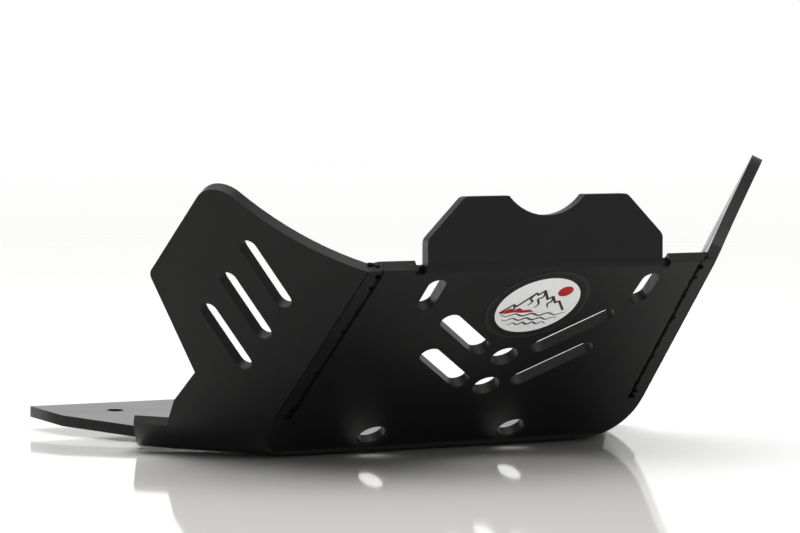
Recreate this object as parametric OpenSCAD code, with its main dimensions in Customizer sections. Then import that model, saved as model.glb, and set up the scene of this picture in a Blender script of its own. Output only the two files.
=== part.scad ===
// Motorcycle skid plate: one thick plastic sheet, cut flat, folded hot and welded at its front corners.
// X points to the front of the motorcycle, Y to its left side and Z up.
// The origin lies on the underside, in the middle of the flat pad that the plate stands on.

/* [Sheet] */
// Thickness of the plastic sheet
sheet_t = 8; // [6:0.5:9]
// Length of the flat pad under the plate, front to back
pad_len = 50; // [40:1:70]

/* [Front panel] */
// Slope of the front panel above the floor, in degrees
panel_angle = 40; // [37:0.5:43]
// Outer radius of the bend between base and front panel
front_bend_r = 28; // [22:1:30]
// Length of the front panel along its slope, from the sharp fold line to its top edge
panel_len = 216; // [212:1:224]
// Distance of the right front corner from the middle
right_corner = 143.5; // [138:0.5:150]
// Distance of the left front corner from the middle
left_corner = 156; // [150:0.5:162]

/* [Top flange] */
// Half width of the upright flange above the panel
flange_half = 90; // [84:0.5:94]
// Height of the flange's top edge above the floor
flange_top_z = 186.5; // [182:0.5:192]
// Size of the flange's slanted top corners, measured along each edge
flange_corner = 28; // [20:1:32]
// Outer radius of the bend between panel and flange
flange_bend_r = 10; // [9:0.5:12]
// Radius of the notch in the flange's top edge
notch_r = 38; // [34:1:42]
// Depth of that notch
notch_depth = 13.5; // [9:0.5:16]
// Rounding of the two shoulders beside the notch
shoulder_r = 10; // [6:1:14]
// Rounding of the flange's outer corners
flange_round = 6; // [3:0.5:8]
// Width of the relief cut at each end of the flange's bend
relief_w = 7; // [5:0.5:9]
// Depth of the relief cut below the panel's top edge
relief_depth = 5; // [5:0.5:9]

/* [Side wings] */
// Angle in plan between the side folds and the length of the motorcycle
wing_splay = 32.3; // [30:0.1:34]
// Slope of the right wing above the floor, in degrees
right_wing_angle = 60; // [58:0.5:64]
// Slope of the left wing above the floor, in degrees
left_wing_angle = 63.7; // [60:0.1:66]
// Outer radius of the bend between base and wing
wing_bend_r = 60; // [52:1:64]
// Height of the right wing's tip along its face
right_tip_h = 221; // [216:1:232]
// Height of the left wing's tip along its face
left_tip_h = 229; // [216:1:232]
// Distance of the wing tip in front of the front corner, along the fold
tip_ahead = 44; // [38:1:50]
// Rounding of the wing tip
tip_round = 20; // [12:1:24]
// Slope of the wing's long rear edge against its fold, in degrees
rear_edge_angle = 46; // [42:1:50]
// Rounding of the wing's rear corner
rear_round = 9; // [5:1:14]
// Radius of the hollow in the wing's top edge
hollow_r = 196; // [186:2:220]
// Drop of the right wing's top edge below the panel's top edge, measured on the wing
right_hollow_drop = 8.8; // [6:0.1:12]
// Drop of the left wing's top edge below the panel's top edge, measured on the wing
left_hollow_drop = 3.4; // [2:0.1:8]

/* [Wing foot] */
// Lean of the edge below the rear corner, in degrees
foot_lean = 7; // [3:1:12]
// Distance of the inner foot corner behind the front corner
foot_inner_back = 20.5; // [14:0.5:26]
// Height of the inner foot corner along the wing
foot_inner_h = 72; // [64:1:80]
// Distance of the outer foot corner behind the front corner
foot_outer_back = 46.5; // [42:0.5:52]
// Height of the outer foot corner along the wing
foot_outer_h = 47; // [42:1:52]
// Rounding of the outer foot corner
foot_round = 5; // [3:1:8]
// Lean of the short edge between that corner and the lip, in degrees
foot_edge_lean = 32; // [20:1:40]
// How far the bend has turned at the lip's top edge, in degrees
lip_turn = 50; // [38:1:52]
// Distance of the lip's rear end behind the front corner, at the lip's top edge
lip_end = 89; // [82:1:96]
// Distance of the lip's rear end behind the front corner, at the flat base
lip_foot_end = 125; // [118:1:132]
// Distance of that point of the base from the sharp side fold line
lip_foot_in = 52; // [46:1:58]

/* [Base] */
// Length of the base behind the front bend
base_len = 250; // [235:1:265]
// Half width of the rear edge
rear_half = 204; // [196:1:212]
// Length of the straight sides beside the rear edge
rear_side_len = 53; // [40:1:65]
// Half width of the base where those sides end
shoulder_half = 199.5; // [190:0.5:206]
// Upward slope of the tail, in degrees
tail_angle = 2.6; // [1:0.1:4]

/* [Vents] */
// Sideways shift of the vents and the decal from the middle
vent_shift = 11.5; // [-14:0.5:14]
// Width of the long vent slots
vent_w = 14.5; // [9:0.5:15]
// Length of the long vent slots
vent_len = 64; // [54:1:70]
// Slope of the long vent slots across the panel, in degrees
vent_slope = 42; // [36:1:48]
// Distance of each long slot's middle from the middle of the vents
vent_reach = 42; // [39:0.5:46]
// Distance of the upper long slots' middle from the front fold, along the panel
vent_s = 140; // [138:1:146]
// Distance between the upper and the lower long slots along the panel
vent_pitch = 39; // [34:1:42]
// Diameter of the round vent holes
vent_hole_d = 20; // [14:1:24]
// Distance of the upper round hole from the front fold, along the panel
vent_hole_s = 112; // [108:1:116]
// Distance between the two round holes along the panel
vent_hole_pitch = 34.5; // [30:0.5:38]

/* [Wing slots] */
// Width of the wing slots
wing_slot_w = 13.5; // [9:0.5:15]
// Length of the wing slots
wing_slot_len = 55; // [48:1:62]
// Angle between the wing slots and the wing's fold, in degrees
wing_slot_angle = 70.5; // [64:0.5:76]
// Distance between neighbouring wing slots
wing_slot_pitch = 35.5; // [30:0.5:38]
// Slope of the row of slots against the wing's fold, in degrees
wing_slot_row = 47; // [42:0.5:52]
// Distance of the middle slot in front of the front corner
wing_slot_ahead = 40; // [34:0.5:46]
// Height of the middle slot's middle along the wing
wing_slot_h = 129.5; // [124:0.5:135]

/* [Bolt holes] */
// Width of the slots for the upper bolts
upper_slot_w = 13; // [10:0.5:16]
// Length of the slots for the upper bolts
upper_slot_len = 34; // [26:1:40]
// Distance of the upper bolt slots' middle from the front fold, along the panel
upper_slot_s = 187; // [184:1:190]
// Half distance between the upper bolt slots
upper_slot_half = 82.5; // [76:0.5:86]
// Sideways shift of the upper bolt slots
upper_slot_shift = 6.5; // [-8:0.5:8]
// Diameter of the lower front bolt holes
low_bolt_d = 20; // [14:1:20]
// Diameter of the chamfer around the lower front bolt holes
low_chamfer_d = 23; // [21:1:26]
// Depth of that chamfer
low_chamfer_depth = 1.5; // [1:0.5:3]
// Distance of the lower front bolt holes from the front fold, along the panel
low_bolt_s = 21; // [20:1:26]
// Half distance between the lower front bolt holes
low_bolt_half = 55.5; // [45:0.5:65]
// Diameter of the rear bolt holes
rear_bolt_d = 12.5; // [9:0.5:16]
// Distance of the rear bolt holes behind the front bend
rear_bolt_back = 210; // [200:1:220]
// Half distance between the rear bolt holes
rear_bolt_half = 152; // [140:1:164]

/* [Seam and decal] */
// Width of the weld groove where panel and wing meet
seam_w = 1; // [0.6:0.1:1.6]
// Depth of that groove
seam_depth = 0.9; // [0.5:0.1:1.5]
// Diameter of the round decal
decal_d = 76; // [60:1:80]
// Thickness of the decal
decal_t = 0.4; // [0.3:0.1:0.8]
// Distance of the decal's middle from the front fold, along the panel
decal_s = 172; // [168:1:174]

/* [Hidden] */
$fn = 96;
plastic_color = [0.07, 0.075, 0.075];
decal_color = [0.92, 0.92, 0.92];
// Reach of the cutting solids, longer than anything on the plate
far = 600;
// Overlap of solids that are joined or cut
lap = 2;
// How far a straight edge ends inside the arc that it runs into
tuck = 0.001;
// How much lower the wings' bends start than the base
sink = 0.01;
// Depth of a cut that goes through one sheet and stays clear of the others
cut = 4*sheet_t;
LEFT = 1;
RIGHT = -1;

bend_x = pad_len/2;
tail_x = -pad_len/2;
rear_x = bend_x - base_len;
// Sharp fold line of the front panel
fold_x = bend_x + front_bend_r*tan(panel_angle/2);
// Front face of the flange, above the panel's top edge
flange_x = fold_x + panel_len*cos(panel_angle);
flange_foot_z = panel_len*sin(panel_angle);
flange_turn = 90 - panel_angle;
relief_s = panel_len - relief_depth;

function corner_y(side) = side == LEFT ? left_corner : right_corner;
function wing_angle(side) = side == LEFT ? left_wing_angle : right_wing_angle;
function tip_h(side) = side == LEFT ? left_tip_h : right_tip_h;
function hollow_drop(side) = side == LEFT ? left_hollow_drop : right_hollow_drop;
function hollow_h(side) = flange_foot_z/sin(wing_angle(side)) - hollow_drop(side);
function wing_bend_len(side) = wing_bend_r*tan(wing_angle(side)/2);
function unit(v) = v/norm(v);
function half_corner(p, a, b) = acos(unit(a - p)*unit(b - p))/2;
function round_center(p, a, b, r) =
    p + unit(unit(a - p) + unit(b - p))*r/sin(half_corner(p, a, b));
// Where the edge from p to a leaves the arc that rounds the corner p
function touch(p, a, b, r) =
    let (center = round_center(p, a, b, r), edge_point = p + unit(a - p)*r/tan(half_corner(p, a, b)))
        center + (r - tuck)*unit(edge_point - center);

// Outline through the given corners, each rounded outwards by its own radius or left sharp with 0
module rounded(points, radii) {
    n = len(points);
    polygon([
        for (i = [0:n - 1])
            let (p = points[i], a = points[(i + n - 1)%n], b = points[(i + 1)%n])
                each radii[i] > 0 ? [touch(p, a, b, radii[i]), touch(p, b, a, radii[i])] : [p]
    ]);
    for (i = [0:n - 1])
        if (radii[i] > 0)
            translate(round_center(points[i], points[(i + n - 1)%n], points[(i + 1)%n], radii[i]))
                circle(radii[i]);
}

// Space above two flat stretches joined by an arc: the first runs in along the bottom, at a depth
// inside the outer skin, and the arc of outer radius bend_r around [0, bend_r] turns it up by turn
module bend_space(bend_r, turn, depth) {
    r = bend_r - depth;
    bend_end = [0, bend_r] + (r - tuck)*[sin(turn), -cos(turn)];
    polygon([
        [-far, depth],
        [0, depth],
        bend_end,
        bend_end + far*[cos(turn), sin(turn)],
        [-far, far]
    ]);
    translate([0, bend_r])
        circle(r);
}

module to_side(side) {
    if (side == LEFT) children();
    else mirror([0, 1, 0]) children();
}

// Front panel: local X runs up the slope from the sharp fold line, Y to the left, Z to the inside
module on_panel(s, y) {
    translate([fold_x, y, 0])
        rotate([0, -panel_angle, 0])
            translate([s, 0, 0])
                children();
}

// Side fold: local X runs back along it from the front corner, Y to the inside, Z up
module on_fold(side) {
    to_side(side)
        translate([fold_x, corner_y(side), 0])
            rotate([0, 0, 180 - wing_splay])
                children();
}

// Section across a side fold: X to the outside from the start of the bend, Y up, for a length of fold
module along_fold(side, from, to) {
    on_fold(side)
        translate([to, wing_bend_len(side), 0])
            rotate([90, 0, -90])
                linear_extrude(to - from)
                    children();
}

// Wing face: local X runs back along the fold, Y up the face, Z to the outside
module on_wing(side) {
    on_fold(side)
        rotate([180 - wing_angle(side), 0, 0])
            children();
}

// Extrudes a side view across the plate
module across(half) {
    rotate([90, 0, 0])
        linear_extrude(2*half, center = true)
            children();
}

module front_room(depth) {
    across(far)
        intersection() {
            translate([bend_x, 0])
                bend_space(front_bend_r, panel_angle, depth);
            // The tail slopes up behind the flat pad
            translate([tail_x, 0])
                rotate(-tail_angle)
                    translate([-2*far, depth])
                        square([4*far, 2*far]);
        }
}

// Space inside base and wing, a hair low so that its bend meets the front bend cleanly
module wing_room(side, depth) {
    along_fold(side, -far, far)
        translate([0, -sink])
            bend_space(wing_bend_r, wing_angle(side), depth);
}

// Space inside the whole tub: base, panel and both wings, at a depth inside the outer skin
module tub(depth) {
    intersection() {
        front_room(depth);
        wing_room(LEFT, depth);
        wing_room(RIGHT, depth);
    }
}

// One half of the base's plan: rear corner, end of the straight side, then out along the lip's end
function base_half(side) =
    let (
        front_corner = [fold_x, corner_y(side)],
        back = [-cos(wing_splay), sin(wing_splay)],
        inward = [-sin(wing_splay), -cos(wing_splay)],
        lip_foot = front_corner + lip_foot_end*back + lip_foot_in*inward,
        lip_top = front_corner + lip_end*back + (wing_bend_len(side) - wing_bend_r*sin(lip_turn))*inward,
        lip_out = lip_foot + 2*(lip_top - lip_foot)
    ) [
        [rear_x, rear_half], [rear_x + rear_side_len, shoulder_half], lip_foot, lip_out, [lip_out[0], far],
        [far, far]
    ];

module base_plan() {
    right = base_half(RIGHT);
    polygon([each base_half(LEFT), for (i = [len(right) - 1:-1:0]) [right[i][0], -right[i][1]]]);
}

// Outline of a wing in its own face, X back along the fold and Y up the face
module wing_outline(side) {
    tip = [-tip_ahead, tip_h(side) - tip_round];
    low_y = hollow_h(side);
    hollow_y = low_y + hollow_r;
    hollow_x = tip[0] - sqrt(pow(hollow_r + tip_round, 2) - pow(hollow_y - tip[1], 2));
    edge_out = [sin(rear_edge_angle), cos(rear_edge_angle)];
    edge_start = tip + (tip_round - tuck)*edge_out;
    foot_inner = [foot_inner_back, foot_inner_h];
    foot_outer = [foot_outer_back, foot_outer_h];
    foot_up = [sin(foot_lean), cos(foot_lean)];
    rear = foot_inner + foot_up*((edge_start - foot_inner)*edge_out)/(foot_up*edge_out);
    // The short edge above the lip is drawn on below it, where nothing is cut
    foot_low = foot_outer + 2*foot_outer_h*[tan(foot_edge_lean), -1];
    difference() {
        union() {
            rounded([
                [-far, foot_low[1]], foot_low, foot_outer, foot_inner, rear, edge_start, tip,
                [hollow_x, hollow_y], [hollow_x, low_y], [-far, low_y]
            ], [0, 0, foot_round, 0, rear_round, 0, 0, 0, 0, 0]);
            translate(tip)
                circle(tip_round);
        }
        translate([hollow_x, hollow_y])
            circle(hollow_r + tuck);
    }
}

// What is cut away above and behind a wing, down to the top edge of the lip
module wing_trim(side) {
    intersection() {
        on_wing(side)
            translate([0, 0, -cut])
                linear_extrude(cut + sheet_t)
                    difference() {
                        translate([-far, 0])
                            square([2*far, far]);
                        wing_outline(side);
                    }
        along_fold(side, -far, far)
            translate([0, wing_bend_r])
                rotate(lip_turn)
                    translate([0, -far])
                        square([far, 2*far]);
    }
}

// Tub of one sheet, trimmed to the outlines of base, panel and wings
module folded_sheet() {
    difference() {
        intersection() {
            translate([0, 0, -lap])
                linear_extrude(far/2)
                    base_plan();
            tub(0);
        }
        tub(sheet_t);
        on_panel(panel_len, 0)
            translate([0, -far, -far])
                cube(2*far);
        wing_trim(LEFT);
        wing_trim(RIGHT);
        // The flange's own strip of panel takes this place
        on_panel(relief_s, 0)
            translate([0, -flange_half - relief_w, -cut])
                cube([cut, 2*(flange_half + relief_w), 2*cut]);
    }
}

// Flange seen from the front: slanted corners and a round notch with soft shoulders
module flange_outline() {
    foot_z = flange_foot_z - cut;
    side_z = flange_top_z - flange_corner;
    top_half = flange_half - flange_corner;
    notch_z = flange_top_z - notch_depth + notch_r;
    shoulder_z = flange_top_z - shoulder_r;
    shoulder_y = sqrt(pow(notch_r + shoulder_r, 2) - pow(notch_z - shoulder_z, 2));
    difference() {
        rounded([
            [-flange_half, foot_z], [flange_half, foot_z], [flange_half, side_z], [top_half, flange_top_z],
            [-top_half, flange_top_z], [-flange_half, side_z]
        ], [0, 0, flange_round, flange_round, flange_round, flange_round]);
        // The shoulders' arcs bound the notch on both sides of its round bottom
        difference() {
            polygon([
                [-shoulder_y, flange_top_z + lap], [-shoulder_y, shoulder_z], [0, notch_z],
                [shoulder_y, shoulder_z], [shoulder_y, flange_top_z + lap]
            ]);
            for (end = [-1, 1])
                translate([end*shoulder_y, shoulder_z])
                    circle(shoulder_r);
        }
        translate([0, notch_z])
            circle(notch_r + tuck);
    }
}

// Flange, its bend and the strip of panel that it grows from
module flange() {
    bend_len = flange_bend_r*tan(flange_turn/2);
    difference() {
        intersection() {
            on_panel(panel_len - bend_len, 0)
                across(flange_half)
                    difference() {
                        bend_space(flange_bend_r, flange_turn, 0);
                        bend_space(flange_bend_r, flange_turn, sheet_t);
                    }
            rotate([90, 0, 90])
                linear_extrude(far)
                    flange_outline();
        }
        on_panel(relief_s - lap - far, 0)
            translate([0, -far, -far])
                cube([far, 2*far, 2*far]);
    }
}

// A slot with round ends, lying along local X and cut through a sheet
module slot(length, width) {
    run = length - width;
    cube([run, width, 2*cut], center = true);
    for (end = [-1, 1])
        translate([end*run/2, 0, 0])
            cylinder(h = 2*cut, d = width, center = true);
}

module panel_vents() {
    for (row = [0, 1]) {
        for (side = [-1, 1])
            on_panel(vent_s - row*vent_pitch, vent_shift + side*vent_reach)
                rotate([0, 0, side*(90 - vent_slope)])
                    slot(vent_len, vent_w);
        on_panel(vent_hole_s - row*vent_hole_pitch, vent_shift)
            cylinder(h = 2*cut, d = vent_hole_d, center = true);
    }
}

module wing_slots(side) {
    row_dir = [cos(wing_slot_row), -sin(wing_slot_row), 0];
    for (i = [-1:1])
        on_wing(side)
            translate([-wing_slot_ahead, wing_slot_h, 0] + i*wing_slot_pitch*row_dir)
                rotate([0, 0, wing_slot_angle])
                    slot(wing_slot_len, wing_slot_w);
}

module bolt_holes() {
    for (side = [-1, 1]) {
        on_panel(upper_slot_s, upper_slot_shift + side*upper_slot_half)
            slot(upper_slot_len, upper_slot_w);
        on_panel(low_bolt_s, side*low_bolt_half) {
            cylinder(h = 2*cut, d = low_bolt_d, center = true);
            translate([0, 0, -low_chamfer_depth])
                cylinder(h = 2*low_chamfer_depth, d1 = 2*low_chamfer_d - low_bolt_d, d2 = low_bolt_d);
        }
        translate([tail_x, side*rear_bolt_half, 0])
            rotate([0, tail_angle, 0])
                translate([pad_len - rear_bolt_back, 0, 0])
                    cylinder(h = 2*cut, d = rear_bolt_d, center = true);
    }
}

// Weld groove on the outside, along the line where the wing's inner face meets the panel
module seam_groove(side) {
    difference() {
        on_wing(side)
            translate([-far, wing_bend_len(side), -sheet_t - seam_w])
                cube([far, far, seam_w]);
        front_room(seam_depth);
    }
}

module skid_plate() {
    color(plastic_color)
        difference() {
            union() {
                folded_sheet();
                flange();
            }
            panel_vents();
            bolt_holes();
            for (side = [LEFT, RIGHT]) {
                wing_slots(side);
                seam_groove(side);
            }
        }
}

// Round decal stuck to the outer face of the panel, above the vents
module decal() {
    color(decal_color)
        on_panel(decal_s, vent_shift)
            translate([0, 0, -decal_t])
                cylinder(h = decal_t, d = decal_d);
}

skid_plate();
decal();
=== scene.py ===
import math

import bmesh
import bpy
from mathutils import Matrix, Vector, noise


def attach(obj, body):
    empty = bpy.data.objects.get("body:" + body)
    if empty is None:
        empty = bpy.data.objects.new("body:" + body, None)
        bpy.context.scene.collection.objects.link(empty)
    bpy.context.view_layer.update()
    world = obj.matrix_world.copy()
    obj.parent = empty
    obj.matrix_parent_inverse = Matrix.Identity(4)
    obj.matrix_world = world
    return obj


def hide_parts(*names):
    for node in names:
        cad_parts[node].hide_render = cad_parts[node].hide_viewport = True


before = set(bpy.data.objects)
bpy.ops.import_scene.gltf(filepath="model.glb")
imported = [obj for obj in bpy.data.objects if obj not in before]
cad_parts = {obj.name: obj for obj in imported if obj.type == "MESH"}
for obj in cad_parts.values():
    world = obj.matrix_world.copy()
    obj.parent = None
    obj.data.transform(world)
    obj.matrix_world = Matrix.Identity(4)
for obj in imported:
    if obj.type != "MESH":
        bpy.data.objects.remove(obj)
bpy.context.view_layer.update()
scene = bpy.context.scene

# Sizes repeated from the part's source, in metres
SHEET = 0.008
PAD_HALF = 0.025
TAIL = math.radians(2.6)
PANEL = math.radians(40)
PANEL_LEN = 0.216
FRONT_R = 0.028
FOLD_X = PAD_HALF + FRONT_R * math.tan(PANEL / 2)
FLANGE_R = 0.010
FLANGE_TURN = math.radians(50)
WING_R = 0.060
SPLAY = math.radians(32.3)
# Each wing's side of the middle, its corner on the front fold, and its slope
WINGS = {"left": (1, 0.156, math.radians(63.7)), "right": (-1, 0.1435, math.radians(60))}
# Middle of the decal, up the panel and across it
DECAL_S = 0.172
DECAL_Y = 0.0115

# Part of the panel whose depth is measured from the flange: length below its top, half width
FLANGE_REACH = 0.006
FLANGE_REACH_HALF = 0.0915
# A face this near to a skin of the sheet counts as skin
SKIN_MARGIN = 0.0004
# Softening of the plate's edges
EDGE_ROUND = 0.0005

# Weld: points along a seam, depth of the bead and of the corner's line of painted shade in the
# faces
SEAM_POINTS = 70
SEAM_TOP_GAP = 0.002
SEAM_FOOT_GAP = 0.001
GROOVE_MIDDLE = SHEET + 0.0005
BEAD_R = 0.00175
BEAD_SINK = 0.00055
SHADE_LINE_R = 0.00062
SHADE_LINE_SINK = 0.0003
# Drops at a seam's top: distance outward, depth under the panel's outer face, radius
TOP_DROPS = ((0.0015, 0.0020, 0.0021), (0.0042, 0.0042, 0.0025),
             (0.0070, 0.0062, 0.0022), (-0.0012, 0.0050, 0.0017))
TOP_DROPS_S = PANEL_LEN - 0.0018
# Drops along a seam: share of its length from the foot, radius
SEAM_DROPS = ((0.985, 0.0019), (0.90, 0.0012), (0.61, 0.0013),
              (0.33, 0.0011), (0.07, 0.0016), (0.02, 0.0019))

# Slots of the decal's materials
RIM, RING, WHITE, INK, RED = range(5)
MM = 0.001


# Camera, fitted to the photo
cam_data = bpy.data.cameras.new("photo_camera")
cam_data.sensor_width = 36
cam_data.lens = 157.5
cam_data.clip_start = 0.05
cam_data.clip_end = 50
camera = bpy.data.objects.new("photo_camera", cam_data)
scene.collection.objects.link(camera)
camera.location = (2.2298, -1.1534, 0.2749)
camera.rotation_euler = Vector((-0.8879, 0.4563, -0.0583)).to_track_quat("-Z", "Y").to_euler()
scene.camera = camera


# Materials
def new_material(name):
    m = bpy.data.materials.new(name)
    m.use_nodes = True
    nt = m.node_tree
    bsdf = next(n for n in nt.nodes if n.type == "BSDF_PRINCIPLED")
    coords = nt.nodes.new("ShaderNodeTexCoord")
    return m, nt, bsdf, coords.outputs["Object"]


# Noise, with the space stretched by (scales, turns) first if asked
def noise_node(nt, vector, scale, detail, rough=0.5, distortion=0.0, stretch=None):
    n = nt.nodes.new("ShaderNodeTexNoise")
    n.inputs["Scale"].default_value = scale
    n.inputs["Detail"].default_value = detail
    n.inputs["Roughness"].default_value = rough
    n.inputs["Distortion"].default_value = distortion
    if stretch:
        mp = nt.nodes.new("ShaderNodeMapping")
        mp.inputs["Scale"].default_value = stretch[0]
        mp.inputs["Rotation"].default_value = stretch[1]
        nt.links.new(vector, mp.inputs["Vector"])
        vector = mp.outputs["Vector"]
    nt.links.new(vector, n.inputs["Vector"])
    return n.outputs["Fac"]


# Stops are (position, grey level or colour)
def ramp(nt, value, stops):
    r = nt.nodes.new("ShaderNodeValToRGB")
    while len(r.color_ramp.elements) < len(stops):
        r.color_ramp.elements.new(0.5)
    for e, (pos, c) in zip(r.color_ramp.elements, stops):
        e.position = pos
        e.color = (c, c, c, 1) if isinstance(c, (int, float)) else (*c, 1)
    nt.links.new(value, r.inputs["Fac"])
    return r.outputs["Color"]


def math_node(nt, op, a, b):
    m = nt.nodes.new("ShaderNodeMath")
    m.operation = op
    for i, v in enumerate((a, b)):
        if isinstance(v, (int, float)):
            m.inputs[i].default_value = v
        else:
            nt.links.new(v, m.inputs[i])
    return m.outputs[0]


# Layers are (height, strength, distance), the first one underneath
def bump(nt, bsdf, layers):
    normal = None
    for height, strength, distance in layers:
        b = nt.nodes.new("ShaderNodeBump")
        b.inputs["Strength"].default_value = strength
        b.inputs["Distance"].default_value = distance
        nt.links.new(height, b.inputs["Height"])
        if normal:
            nt.links.new(normal, b.inputs["Normal"])
        normal = b.outputs["Normal"]
    nt.links.new(normal, bsdf.inputs["Normal"])


# Satin black sheet: fine moulded grain, cloudy gloss, faint scuffs from handling
def sheet_material():
    m, nt, bsdf, co = new_material("black_sheet")
    cloud = noise_node(nt, co, 14, 5, 0.6, 0.6)
    tint = ramp(nt, cloud, [(0.30, (0.0018, 0.0021, 0.0023)), (0.72, (0.0038, 0.0041, 0.0043))])
    nt.links.new(tint, bsdf.inputs["Base Color"])
    scuff_a = noise_node(nt, co, 60, 3, 0.7, 0.0, ((0.25, 6.0, 0.6), (0.3, 0.5, 0.9)))
    scuff_b = noise_node(nt, co, 90, 3, 0.7, 0.0, ((5.0, 0.3, 0.8), (0.9, 0.1, 0.4)))
    lines = math_node(nt, "MAXIMUM", ramp(nt, scuff_a, [(0.68, 0.0), (0.74, 1.0)]),
                      ramp(nt, scuff_b, [(0.70, 0.0), (0.76, 1.0)]))
    rough = ramp(nt, cloud, [(0.25, 0.19), (0.75, 0.25)])
    rough = math_node(nt, "ADD", rough, math_node(nt, "MULTIPLY", lines, 0.07))
    nt.links.new(rough, bsdf.inputs["Roughness"])
    bsdf.inputs["Specular IOR Level"].default_value = 0.17
    grain = noise_node(nt, co, 1500, 2, 0.5)
    wave = noise_node(nt, co, 38, 2, 0.5)
    bump(nt, bsdf, [(wave, 0.10, 0.0012), (grain, 0.10, 0.00015), (lines, 0.10, 0.00008)])
    return m


# Routed and sawn edges of the sheet: paler, duller, with fine tool marks across the thickness
def cut_material():
    m, nt, bsdf, co = new_material("cut_edge")
    cloud = noise_node(nt, co, 90, 4, 0.65)
    tint = ramp(nt, cloud, [(0.30, (0.0062, 0.0061, 0.0057)), (0.74, (0.0118, 0.0115, 0.0106))])
    nt.links.new(tint, bsdf.inputs["Base Color"])
    marks = noise_node(nt, co, 520, 3, 0.6, 0.2, ((1.0, 1.0, 0.14), (0.0, 0.0, 0.0)))
    rough = ramp(nt, marks, [(0.30, 0.36), (0.75, 0.50)])
    nt.links.new(rough, bsdf.inputs["Roughness"])
    bsdf.inputs["Specular IOR Level"].default_value = 0.16
    bump(nt, bsdf, [(marks, 0.28, 0.0003), (cloud, 0.2, 0.0003)])
    return m


# Melted plastic of the corner welds, darker than the sheet as painted shade of the seam grooves,
# and also the material of the corners' lines of painted shade: nearly black, dull and rippled
def weld_and_shade_material():
    m, nt, bsdf, co = new_material("weld_and_seam_shade")
    cloud = noise_node(nt, co, 160, 5, 0.6, 1.2)
    tint = ramp(nt, cloud, [(0.30, (0.0006, 0.0006, 0.0007)), (0.74, (0.0016, 0.0016, 0.0016))])
    nt.links.new(tint, bsdf.inputs["Base Color"])
    nt.links.new(ramp(nt, cloud, [(0.25, 0.45), (0.75, 0.72)]), bsdf.inputs["Roughness"])
    bsdf.inputs["Specular IOR Level"].default_value = 0.06
    ripple = noise_node(nt, co, 420, 3, 0.6, 0.8)
    bump(nt, bsdf, [(cloud, 0.5, 0.0008), (ripple, 0.35, 0.0003)])
    return m


# Printed film of the decal, slightly uneven in colour and gloss
def film_material(name, low, high, rough, coat):
    m, nt, bsdf, co = new_material(name)
    cloud = noise_node(nt, co, 210, 4, 0.6, 0.3)
    nt.links.new(ramp(nt, cloud, [(0.30, low), (0.72, high)]), bsdf.inputs["Base Color"])
    speck = noise_node(nt, co, 900, 3, 0.6)
    gloss = ramp(nt, speck, [(0.30, rough), (0.75, rough + 0.10)])
    nt.links.new(gloss, bsdf.inputs["Roughness"])
    bsdf.inputs["Specular IOR Level"].default_value = 0.20
    bsdf.inputs["Coat Weight"].default_value = coat
    bsdf.inputs["Coat Roughness"].default_value = 0.12
    wrinkle = noise_node(nt, co, 70, 3, 0.5, 0.4)
    bump(nt, bsdf, [(wrinkle, 0.10, 0.0004), (speck, 0.05, 0.0001)])
    return m


sheet_mat = sheet_material()
cut_mat = cut_material()
weld_and_shade_mat = weld_and_shade_material()


# Directions and places of the folded sheet
PANEL_UP = Vector((math.cos(PANEL), 0, math.sin(PANEL)))
PANEL_OUT = Vector((math.sin(PANEL), 0, -math.cos(PANEL)))


def on_panel(s, y, depth=0.0):
    return Vector((FOLD_X, 0, 0)) + PANEL_UP * s + Vector((0, y, 0)) - PANEL_OUT * depth


# Corner on the fold, direction up the wing, its outer normal, level direction outward, slope
def wing_axes(side):
    sign, corner, slope = WINGS[side]
    outward = Vector((math.sin(SPLAY), sign * math.cos(SPLAY), 0))
    up = outward * math.cos(slope) + Vector((0, 0, math.sin(slope)))
    out = outward * math.sin(slope) - Vector((0, 0, math.cos(slope)))
    return Vector((FOLD_X, sign * corner, 0)), up, out, outward, slope


# Depth of a point inside the outer skin of the sheet, the least of base, panel and both wings
def skin_depth(p):
    panel_depth = (p - on_panel(0, 0)).dot(-PANEL_OUT)
    past_pad = p.x - PAD_HALF
    angle = math.atan2(past_pad, FRONT_R - p.z)
    if p.z < FRONT_R and 0 < angle < PANEL and past_pad > 0:
        depths = [FRONT_R - math.hypot(past_pad, p.z - FRONT_R)]
    elif panel_depth < p.z and past_pad > 0:
        depths = [panel_depth]
    elif p.x < -PAD_HALF:
        depths = [(p.z - (-PAD_HALF - p.x) * math.tan(TAIL)) * math.cos(TAIL)]
    else:
        depths = [p.z]
    for side in WINGS:
        origin, _, out, outward, slope = wing_axes(side)
        past_base = (p - origin).dot(outward) + WING_R * math.tan(slope / 2)
        angle = math.atan2(past_base, WING_R - p.z)
        if past_base <= 0:
            depths.append(p.z)
        elif angle < slope:
            depths.append(WING_R - math.hypot(past_base, p.z - WING_R))
        else:
            depths.append((p - origin).dot(-out))
    return min(depths)


# The same at the flange and its bend
def flange_depth(p):
    face_x = FOLD_X + PANEL_LEN * math.cos(PANEL)
    foot_z = PANEL_LEN * math.sin(PANEL)
    bend_x = face_x - FLANGE_R
    bend_z = foot_z + FLANGE_R * math.tan(FLANGE_TURN / 2)
    if p.z >= bend_z:
        return face_x - p.x
    angle = math.atan2(p.x - bend_x, bend_z - p.z)
    if p.x > bend_x and angle > PANEL:
        return FLANGE_R - math.hypot(p.x - bend_x, p.z - bend_z)
    return (p - on_panel(0, 0)).dot(-PANEL_OUT)


# A face is cut where its middle lies between the two skins of the sheet
def is_cut(face):
    p = face.calc_center_median()
    up_panel = (p - on_panel(0, 0)).dot(PANEL_UP)
    at_flange = up_panel > PANEL_LEN - FLANGE_REACH and abs(p.y) < FLANGE_REACH_HALF
    depth = flange_depth(p) if at_flange else skin_depth(p)
    return SKIN_MARGIN < depth < SHEET - SKIN_MARGIN


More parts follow.
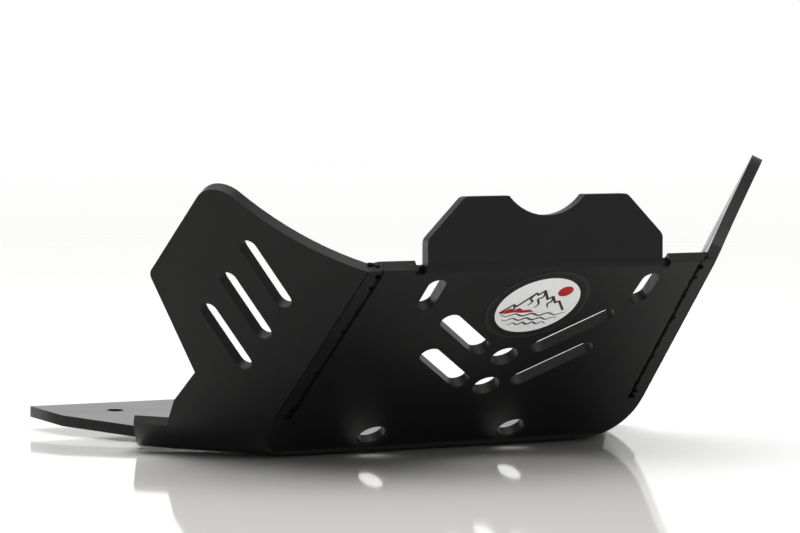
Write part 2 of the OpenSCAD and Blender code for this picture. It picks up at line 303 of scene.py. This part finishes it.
# The plate itself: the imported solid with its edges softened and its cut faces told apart
def build_plate():
    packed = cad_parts["skid_plate"].data
    mesh = bpy.data.meshes.new("plate_body")
    mesh.from_pydata([v.co.copy() for v in packed.vertices], [],
                     [tuple(p.vertices) for p in packed.polygons])
    bm = bmesh.new()
    bm.from_mesh(mesh)
    # The pack's triangles joined to whole faces
    bmesh.ops.remove_doubles(bm, verts=bm.verts, dist=4e-6)
    bmesh.ops.dissolve_degenerate(bm, dist=1e-6, edges=bm.edges)
    bmesh.ops.dissolve_limit(bm, angle_limit=math.radians(0.4), verts=bm.verts, edges=bm.edges)
    cuts = {f.index for f in bm.faces if is_cut(f)}
    for f in bm.faces:
        f.material_index = 1 if f.index in cuts else 0
        f.smooth = True
    sharp = [e for e in bm.edges
             if len(e.link_faces) == 2 and e.calc_face_angle() > math.radians(28)]
    bmesh.ops.bevel(bm, geom=sharp, offset=EDGE_ROUND, offset_type="OFFSET", segments=2,
                    profile=0.6, affect="EDGES", clamp_overlap=True, material=-1)
    for f in bm.faces:
        f.smooth = True
    bm.to_mesh(mesh)
    bm.free()
    mesh.materials.append(sheet_mat)
    mesh.materials.append(cut_mat)
    ob = bpy.data.objects.new("plate_body", mesh)
    scene.collection.objects.link(ob)
    mesh.set_sharp_from_angle(angle=math.radians(40))
    mod = ob.modifiers.new("even_normals", "WEIGHTED_NORMAL")
    mod.keep_sharp = True
    mod.weight = 60
    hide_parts("skid_plate")
    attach(ob, "root")


build_plate()


# Welds of the two corners, and the lines of painted shade along them
def weld_and_shade_piece(name, bm):
    for f in bm.faces:
        f.smooth = True
    mesh = bpy.data.meshes.new(name)
    bm.to_mesh(mesh)
    bm.free()
    mesh.materials.append(weld_and_shade_mat)
    ob = bpy.data.objects.new(name, mesh)
    scene.collection.objects.link(ob)
    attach(ob, "root")


# A lumpy bead along a path, slightly flatter than round
def tube(name, path, radii, sides=10, seed=0.0):
    bm = bmesh.new()
    rings = []
    last = len(path) - 1
    for i, p in enumerate(path):
        ahead = (path[min(i + 1, last)] - path[max(i - 1, 0)]).normalized()
        side = ahead.cross(PANEL_OUT).normalized()
        up = side.cross(ahead).normalized()
        ring = []
        for k in range(sides):
            c = math.cos(2 * math.pi * k / sides)
            s = math.sin(2 * math.pi * k / sides)
            lumps = 1 + 0.22 * noise.noise(Vector((i * 0.55, c * 1.3, s * 1.3 + seed)))
            ring.append(bm.verts.new(p + (side * c + up * s * 0.75) * radii[i] * lumps))
        rings.append(ring)
    for a, b in zip(rings, rings[1:]):
        for k in range(sides):
            j = (k + 1) % sides
            bm.faces.new((a[k], a[j], b[j], b[k]))
    bm.faces.new(rings[0][::-1])
    bm.faces.new(rings[-1])
    bmesh.ops.recalc_face_normals(bm, faces=bm.faces)
    weld_and_shade_piece(name, bm)


# Points up a seam, on the panel's outer face and this depth under the wing's outer face
def seam_path(side, depth):
    origin, up, out, _, slope = wing_axes(side)
    along = out.cross(PANEL_OUT).normalized()
    if along.dot(PANEL_UP) < 0:
        along = -along
    across = along.cross(PANEL_OUT).normalized()
    foot = origin - across * (depth / out.dot(across))
    start = (WING_R * math.tan(slope / 2) + SEAM_FOOT_GAP) / along.dot(up)
    up_panel = (foot - on_panel(0, 0)).dot(PANEL_UP)
    top = (PANEL_LEN - SEAM_TOP_GAP - up_panel) / along.dot(PANEL_UP)
    last = SEAM_POINTS - 1
    return [foot + along * (start + (top - start) * i / last) for i in range(SEAM_POINTS)]


# Drops of melted plastic left at the top of a seam and here and there along it
def drops(name, side, points, seed):
    sign = WINGS[side][0]
    spots = [(on_panel(TOP_DROPS_S, points[-1].y + sign * dy, depth), size)
             for dy, depth, size in TOP_DROPS]
    for share, size in SEAM_DROPS:
        spots.append((points[int(share * (len(points) - 1))] + Vector((0, sign * 0.0012, 0)), size))
    bm = bmesh.new()
    for i, (centre, size) in enumerate(spots):
        for v in bmesh.ops.create_icosphere(bm, subdivisions=3, radius=size)["verts"]:
            d = v.co.normalized()
            r = size * (1 + 0.45 * noise.noise(d * 1.7 + Vector((seed * 3.1 + i * 5.3, 0, 0))))
            v.co = centre + Vector((d.x, d.y * 1.35, d.z * 0.8)) * r
    weld_and_shade_piece(name, bm)


# At each seam a thin dark line of painted shade along the corner, the bead in the groove, its drops
for k, side in enumerate(WINGS):
    corner = [p - PANEL_OUT * SHADE_LINE_SINK for p in seam_path(side, SHADE_LINE_SINK)]
    tube("corner_shade_line_" + side, corner, [SHADE_LINE_R] * len(corner), sides=8, seed=3.1 + k)
    points = seam_path(side, GROOVE_MIDDLE)
    radii = []
    for i in range(len(points)):
        f = i / (len(points) - 1)
        fade = min(1.0, f / 0.06 + 0.25, (1 - f) / 0.05 + 0.35)
        radii.append(BEAD_R * fade * (1 + 0.45 * noise.noise(Vector((i * 0.41, 4.2 * k, 0)))))
    tube("weld_" + side, [p - PANEL_OUT * BEAD_SINK for p in points], radii, seed=7.7 * k)
    drops("weld_drops_" + side, side, points, 3 + k)


# Round decal: u to the viewer's right seen from outside, v up the panel, h above its outer face
def decal_point(u, v, h):
    return on_panel(DECAL_S + v, DECAL_Y + u, -h)


def circle(u, v, r, n):
    return [(u + r * math.cos(2 * math.pi * i / n), v + r * math.sin(2 * math.pi * i / n))
            for i in range(n)]


def in_mm(pts):
    return [(x * MM, y * MM) for x, y in pts]


def fill(bm, pts, h, index):
    verts = [bm.verts.new(decal_point(x, y, h)) for x, y in pts]
    bm.faces.new(verts).material_index = index
    return verts


# Four-sided faces between two lines of as many points, closed to a loop if asked
def band(bm, left, right, index, closed=False):
    n = len(left)
    for i in range(n if closed else n - 1):
        j = (i + 1) % n
        bm.faces.new((left[i], right[i], right[j], left[j])).material_index = index


# A brush stroke through points, thinner at both ends
def stroke(bm, pts, width, h, index):
    last = len(pts) - 1
    left, right = [], []
    for i, (x, y) in enumerate(pts):
        (ax, ay), (bx, by) = pts[max(i - 1, 0)], pts[min(i + 1, last)]
        dx, dy = bx - ax, by - ay
        length = math.hypot(dx, dy)
        share = min(max(i / last, 0.04), 0.96)
        w = width * (0.35 + 0.65 * math.sin(math.pi * share)) / 2
        left.append(bm.verts.new(decal_point(x - dy / length * w, y + dx / length * w, h)))
        right.append(bm.verts.new(decal_point(x + dy / length * w, y - dx / length * w, h)))
    band(bm, left, right, index)


# Straight pieces of even width with a round joint at every corner, laid in turn a hair apart
def bent_line(bm, pts, width, h, index):
    w = width / 2
    lift = 0.01 * MM
    for i, ((ax, ay), (bx, by)) in enumerate(zip(pts, pts[1:])):
        dx, dy = bx - ax, by - ay
        length = math.hypot(dx, dy)
        nx, ny = -dy / length * w, dx / length * w
        corners = [(ax + nx, ay + ny), (ax - nx, ay - ny), (bx - nx, by - ny), (bx + nx, by + ny)]
        fill(bm, corners, h + lift * (i % 2), index)
    for x, y in pts:
        fill(bm, circle(x, y, w, 20), h + 2 * lift, index)


# Smooth curve through the points, with this many steps from one to the next
def smooth_line(pts, steps=8):
    curve = []
    for i in range(len(pts) - 1):
        p0, p1, p2, p3 = pts[max(i - 1, 0)], pts[i], pts[i + 1], pts[min(i + 2, len(pts) - 1)]
        for k in range(steps):
            t = k / steps
            curve.append(tuple(
                0.5 * (2 * p1[c] + (p2[c] - p0[c]) * t
                       + (2 * p0[c] - 5 * p1[c] + 4 * p2[c] - p3[c]) * t * t
                       + (3 * p1[c] - p0[c] - 3 * p2[c] + p3[c]) * t ** 3) for c in (0, 1)))
    curve.append(pts[-1])
    return curve


# Heights of the printed layers above the panel, each a hair above the last
RIM_H = 0.24 * MM
RING_H = 0.28 * MM
WHITE_H = 0.30 * MM
INK_H = 0.34 * MM
# Ridge with three peaks, shading strokes on its lee sides, and a red slope below its left end
RIDGE = ((-26, -7), (-19, 1.5), (-16, -0.5), (-6.5, 14), (-4.5, 12), (-1, 16.5), (5, 6.5),
         (8, 9.5), (12.5, 2.5), (15, 4), (22, -6))
SHADING = (
    ((-1, 15), (0.5, 9.5), (-2.5, 7), (0, 1.5), (-2, -3)),
    ((-7, 12), (-8.5, 7.5), (-6, 4.5), (-8, 0)),
    ((8, 8.5), (9, 4), (7, 1.5), (9, -3)),
    ((-18.5, 0), (-17, -3), (-19, -6)),
)
RED_SLOPE = ((-26.5, -8.3), (-20, -2.5), (-16.5, -4.6), (-13, -2.2), (-9, -5.2), (-4, -4.4),
             (0, -7.4), (-8, -8.2), (-16, -7.4), (-21, -8.6))
# Waves at the foot: height on the disc, half length, swing
WAVES = ((-10.5, 25, 1.3), (-15.5, 21, 1.2), (-20.5, 15, 1.1))
WAVE_STEPS = 40
# Each material: name, darkest and palest colour, roughness, coat
FILMS = (
    ("decal_rim", (0.0050, 0.0056, 0.0056), (0.0085, 0.0092, 0.0092), 0.20, 0.12),
    ("decal_ring", (0.0010, 0.0018, 0.0018), (0.0024, 0.0033, 0.0033), 0.26, 0.0),
    ("decal_white", (0.92, 0.93, 0.93), (0.96, 0.97, 0.97), 0.32, 0.1),
    ("decal_ink", (0.014, 0.017, 0.017), (0.026, 0.029, 0.029), 0.34, 0.0),
    ("decal_red", (0.44, 0.010, 0.014), (0.58, 0.018, 0.022), 0.34, 0.0),
)


# Dark film with its side wall, a darker ring, a white disc and a generic hill drawing
def build_decal():
    bm = bmesh.new()
    steps = 128
    low = fill(bm, circle(0, 0, 38 * MM, steps), 0.0, RIM)
    top = fill(bm, circle(0, 0, 38 * MM - 0.1 * MM, steps), RIM_H, RIM)
    band(bm, low, top, RIM, closed=True)
    outer, inner = [], []
    for (ox, oy), (ix, iy) in zip(circle(0, 0, 35.2 * MM, steps), circle(0, 0, 30.5 * MM, steps)):
        outer.append(bm.verts.new(decal_point(ox, oy, RING_H)))
        inner.append(bm.verts.new(decal_point(ix, iy, RING_H)))
    band(bm, inner, outer, RING, closed=True)
    fill(bm, circle(0, 0, 30.6 * MM, steps), WHITE_H, WHITE)
    bent_line(bm, in_mm(RIDGE), 1.8 * MM, INK_H, INK)
    for line in SHADING:
        stroke(bm, in_mm(smooth_line(line)), 1.7 * MM, INK_H, INK)
    for y, half, swing in WAVES:
        wave = [(-half + 2 * half * i / WAVE_STEPS, y + swing * math.sin(i * 0.62 + y))
                for i in range(WAVE_STEPS + 1)]
        stroke(bm, in_mm(wave), 1.6 * MM, INK_H, INK)
    fill(bm, circle(15.5 * MM, 15 * MM, 5.6 * MM, 48), INK_H, RED)
    fill(bm, in_mm(RED_SLOPE), INK_H - 0.02 * MM, RED)
    bmesh.ops.recalc_face_normals(bm, faces=[f for f in bm.faces if f.material_index == RIM])
    for f in bm.faces:
        if f.material_index != RIM and f.normal.dot(PANEL_OUT) < 0:
            f.normal_flip()
    mesh = bpy.data.meshes.new("round_decal")
    bm.to_mesh(mesh)
    bm.free()
    for film in FILMS:
        mesh.materials.append(film_material(*film))
    ob = bpy.data.objects.new("round_decal", mesh)
    scene.collection.objects.link(ob)
    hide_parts("decal")
    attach(ob, "root")


build_decal()


# Glossy pale floor, a hair under the plate
def build_floor():
    mesh = bpy.data.meshes.new("floor")
    s = 6.0
    mesh.from_pydata([(-s, -s, 0), (s, -s, 0), (s, s, 0), (-s, s, 0)], [], [(0, 1, 2, 3)])
    ob = bpy.data.objects.new("floor", mesh)
    scene.collection.objects.link(ob)
    m, nt, bsdf, co = new_material("pale_floor")
    cloud = noise_node(nt, co, 0.6, 2, 0.5)
    tint = ramp(nt, cloud, [(0.2, (0.875, 0.862, 0.836)), (0.8, (0.900, 0.888, 0.862))])
    nt.links.new(tint, bsdf.inputs["Base Color"])
    bsdf.inputs["Roughness"].default_value = 0.06
    bsdf.inputs["Specular IOR Level"].default_value = 0.35
    mesh.materials.append(m)
    ob.location.z = -0.0003


build_floor()


# Lights
def area_light(name, location, target, size, power):
    data = bpy.data.lights.new(name, "AREA")
    data.shape = "RECTANGLE"
    data.size, data.size_y = size
    data.energy = power
    ob = bpy.data.objects.new(name, data)
    scene.collection.objects.link(ob)
    ob.location = location
    ob.rotation_euler = (Vector(target) - Vector(location)).to_track_quat("-Z", "Y").to_euler()


area_light("top_softbox", (0.1, -0.1, 1.9), (0, 0, 0), (2.2, 2.2), 38)
area_light("side_softbox", (0.2, -2.4, 1.0), (0, 0, 0.1), (1.6, 1.6), 0.35)
area_light("front_softbox", (2.3, 1.2, 1.5), (0, 0, 0.15), (1.4, 1.0), 3)
area_light("front_fill", (1.8, 0.95, 0.22), (0.15, 0, 0.16), (1.0, 0.5), 1.6)
area_light("edge_strip", (-2.3, -1.25, 0.35), (0, 0, 0.1), (0.35, 1.0), 11)


# Bright backdrop behind the object, dimmer room in front of it; the camera sees plain white
def build_world():
    world = bpy.data.worlds.new("studio")
    scene.world = world
    world.use_nodes = True
    nt = world.node_tree
    nt.nodes.clear()
    output = nt.nodes.new("ShaderNodeOutputWorld")
    coords = nt.nodes.new("ShaderNodeTexCoord")
    dot = nt.nodes.new("ShaderNodeVectorMath")
    dot.operation = "DOT_PRODUCT"
    dot.inputs[1].default_value = (-0.8893, 0.4570, 0.0)
    nt.links.new(coords.outputs["Generated"], dot.inputs[0])
    half = math_node(nt, "MULTIPLY", dot.outputs["Value"], 0.5)
    fade = ramp(nt, math_node(nt, "ADD", half, 0.5), [(0.15, 0.22), (0.55, 0.42), (0.85, 1.0)])
    room = nt.nodes.new("ShaderNodeBackground")
    nt.links.new(fade, room.inputs["Color"])
    room.inputs["Strength"].default_value = 1.1
    plain = nt.nodes.new("ShaderNodeBackground")
    plain.inputs["Color"].default_value = (1, 1, 1, 1)
    path = nt.nodes.new("ShaderNodeLightPath")
    mix = nt.nodes.new("ShaderNodeMixShader")
    nt.links.new(path.outputs["Is Camera Ray"], mix.inputs[0])
    nt.links.new(room.outputs[0], mix.inputs[1])
    nt.links.new(plain.outputs[0], mix.inputs[2])
    nt.links.new(mix.outputs[0], output.inputs["Surface"])


build_world()

scene.view_settings.view_transform = "Standard"
scene.view_settings.look = "None"
